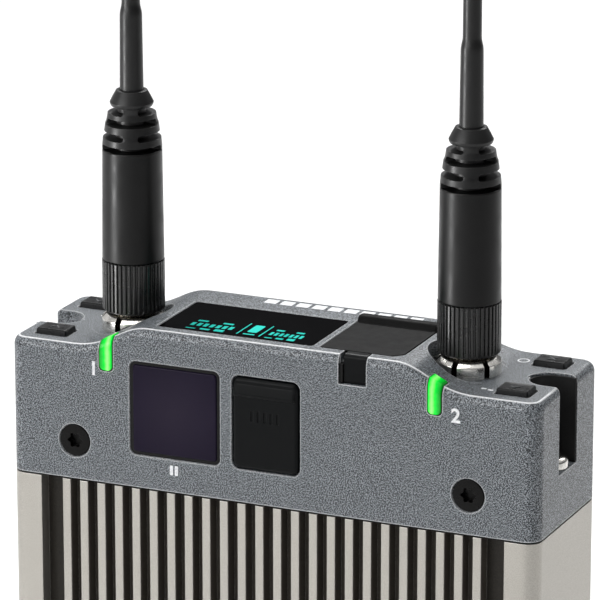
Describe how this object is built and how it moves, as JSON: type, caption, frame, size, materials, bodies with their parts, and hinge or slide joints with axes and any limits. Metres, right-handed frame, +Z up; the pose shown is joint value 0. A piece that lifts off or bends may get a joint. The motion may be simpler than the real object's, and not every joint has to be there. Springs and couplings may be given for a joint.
{
  "type": "wireless receiver unit",
  "caption": "Slot-in wireless audio receiver with a finned metal case, painted control head, display, rubber covers, push buttons and screw-on whip antennas.",
  "frame": {"origin": "middle of the flat underside of the base plate, on the surface that the unit stands on", "axes": "+Z up towards the antennas, -Y out of the front face with the window and the data socket cover, +X to the right as seen from the front"},
  "size_m": [0.083, 0.0245, 0.2388],
  "materials": {
    "case_metal": "fine satin, warm champagne anodised extrusion",
    "head_paint": "hammered speckle paint, grey-blue, semi-matt",
    "black_rubber": "soft matt",
    "button_rubber": "satin",
    "display_glass": "polished",
    "filter_glass": "polished dark violet infrared filter",
    "black_plastic": "moulded",
    "slot_liner": "matt black",
    "light_pipe": "polished, glowing green",
    "circuit_board": "solder mask",
    "tin_plate": "tinned sheet",
    "black_steel": "black oxide",
    "bright_steel": "passivated",
    "ring_nickel": "bright nickel plate",
    "brass_contact": "machined",
    "coupling_black": "black plated, satin",
    "antenna_sleeve": "satin moulded",
    "antenna_rubber": "satin flexible"
  },
  "bodies": {
    "chassis": {"body_shell": "case_metal", "bottom_plate": "case_metal", "slot_connector": "tin_plate", "slot_insert": "black_plastic", "main_board": "circuit_board", "receiver_can_left": "tin_plate", "bottom_screw_front_left": "black_steel", "bottom_screw_rear_left": "black_steel", "receiver_can_right": "tin_plate", "bottom_screw_front_right": "black_steel", "bottom_screw_rear_right": "black_steel", "head_housing": "head_paint", "seal_gasket": "black_rubber", "joining_frame": "tin_plate", "head_screw_front_left": "black_steel", "head_screw_rear_left": "black_steel", "head_screw_front_right": "black_steel", "head_screw_rear_right": "black_steel", "display_glass": "display_glass", "display_panel": "black_plastic", "ir_window": "filter_glass", "ir_transceiver": "black_plastic", "data_socket": "tin_plate", "flap_tether": "black_rubber", "phones_jack": "black_plastic", "control_board": "circuit_board", "light_pipe_left": "light_pipe", "indicator_led_left": "light_pipe", "key_switch_front_left": "black_plastic", "key_switch_rear_left": "black_plastic", "light_pipe_right": "light_pipe", "indicator_led_right": "light_pipe", "key_switch_front_right": "black_plastic", "key_switch_rear_right": "black_plastic", "slot_liner_left": "slot_liner", "slot_liner_right": "slot_liner", "ring_nut_left": "ring_nickel", "antenna_socket_left": "brass_contact", "ring_nut_right": "ring_nickel", "antenna_socket_right": "brass_contact"},
    "antenna_left": {"antenna_plug_left": "brass_contact", "antenna_sleeve_left": "antenna_sleeve", "bend_relief_left": "antenna_rubber"},
    "whip_left": {"antenna_whip_left": "antenna_rubber"},
    "coupling_left": {"coupling_nut_left": "coupling_black"},
    "mount_clip_left": {"screw_clip_left": "bright_steel"},
    "mount_screw_left": {"mount_screw_left": "bright_steel"},
    "button_front_left": {"button_front_left": "button_rubber"},
    "button_rear_left": {"button_rear_left": "button_rubber"},
    "antenna_right": {"antenna_plug_right": "brass_contact", "antenna_sleeve_right": "antenna_sleeve", "bend_relief_right": "antenna_rubber"},
    "whip_right": {"antenna_whip_right": "antenna_rubber"},
    "coupling_right": {"coupling_nut_right": "coupling_black"},
    "mount_clip_right": {"screw_clip_right": "bright_steel"},
    "mount_screw_right": {"mount_screw_right": "bright_steel"},
    "button_front_right": {"button_front_right": "button_rubber"},
    "button_rear_right": {"button_rear_right": "button_rubber"},
    "socket_cover": {"socket_cover": "black_rubber"},
    "top_flap": {"top_flap": "black_rubber"}
  },
  "joints": [
    {"name": "antenna_lift_left", "type": "slide", "parent": "chassis", "child": "antenna_left", "axis": [0, 0, 1], "range_m": [0, 0.00353]},
    {"name": "nut_spin_left", "type": "hinge", "parent": "antenna_left", "child": "coupling_left", "pos_m": [-0.0265, -0.001, 0.137], "axis": [0, 0, 1], "range_deg": [0, 1800]},
    {"name": "whip_flex_left", "type": "hinge", "parent": "antenna_left", "child": "whip_left", "pos_m": [-0.0265, -0.001, 0.162], "axis": [1, 0, 0], "range_deg": [-25, 25], "stiffness_Nm_per_rad": 0.02, "deforming": ["bend_relief_left"]},
    {"name": "mount_screw_lift_left", "type": "slide", "parent": "chassis", "child": "mount_clip_left", "axis": [0, 0, 1], "range_m": [0, 0.004]},
    {"name": "mount_screw_spin_left", "type": "hinge", "parent": "mount_clip_left", "child": "mount_screw_left", "pos_m": [-0.0386, 0, 0.118], "axis": [0, 0, 1], "continuous": true},
    {"name": "press_front_left", "type": "slide", "parent": "chassis", "child": "button_front_left", "axis": [0, 0, -1], "range_m": [0, 0.0005], "stiffness_N_per_m": 1200},
    {"name": "press_rear_left", "type": "slide", "parent": "chassis", "child": "button_rear_left", "axis": [0, 0, -1], "range_m": [0, 0.0005], "stiffness_N_per_m": 1200},
    {"name": "antenna_lift_right", "type": "slide", "parent": "chassis", "child": "antenna_right", "axis": [0, 0, 1], "range_m": [0, 0.00353]},
    {"name": "nut_spin_right", "type": "hinge", "parent": "antenna_right", "child": "coupling_right", "pos_m": [0.0265, -0.001, 0.137], "axis": [0, 0, 1], "range_deg": [0, 1800]},
    {"name": "whip_flex_right", "type": "hinge", "parent": "antenna_right", "child": "whip_right", "pos_m": [0.0265, -0.001, 0.162], "axis": [1, 0, 0], "range_deg": [-25, 25], "stiffness_Nm_per_rad": 0.02, "deforming": ["bend_relief_right"]},
    {"name": "mount_screw_lift_right", "type": "slide", "parent": "chassis", "child": "mount_clip_right", "axis": [0, 0, 1], "range_m": [0, 0.004]},
    {"name": "mount_screw_spin_right", "type": "hinge", "parent": "mount_clip_right", "child": "mount_screw_right", "pos_m": [0.0386, 0, 0.118], "axis": [0, 0, 1], "continuous": true},
    {"name": "press_front_right", "type": "slide", "parent": "chassis", "child": "button_front_right", "axis": [0, 0, -1], "range_m": [0, 0.0005], "stiffness_N_per_m": 1200},
    {"name": "press_rear_right", "type": "slide", "parent": "chassis", "child": "button_rear_right", "axis": [0, 0, -1], "range_m": [0, 0.0005], "stiffness_N_per_m": 1200},
    {"name": "socket_cover_open", "type": "hinge", "parent": "chassis", "child": "socket_cover", "pos_m": [0, -0.0122, 0.1155], "axis": [1, 0, 0], "range_deg": [0, 110]},
    {"name": "top_flap_open", "type": "hinge", "parent": "chassis", "child": "top_flap", "pos_m": [0.01325, -0.00955, 0.13425], "axis": [1, 0, 0], "range_deg": [0, 115]}
  ],
  "couplings": [
    {"joint": "nut_spin_left", "follows": "antenna_lift_left", "rad_per_m": 8904.7},
    {"joint": "nut_spin_right", "follows": "antenna_lift_right", "rad_per_m": 8904.7}
  ]
}
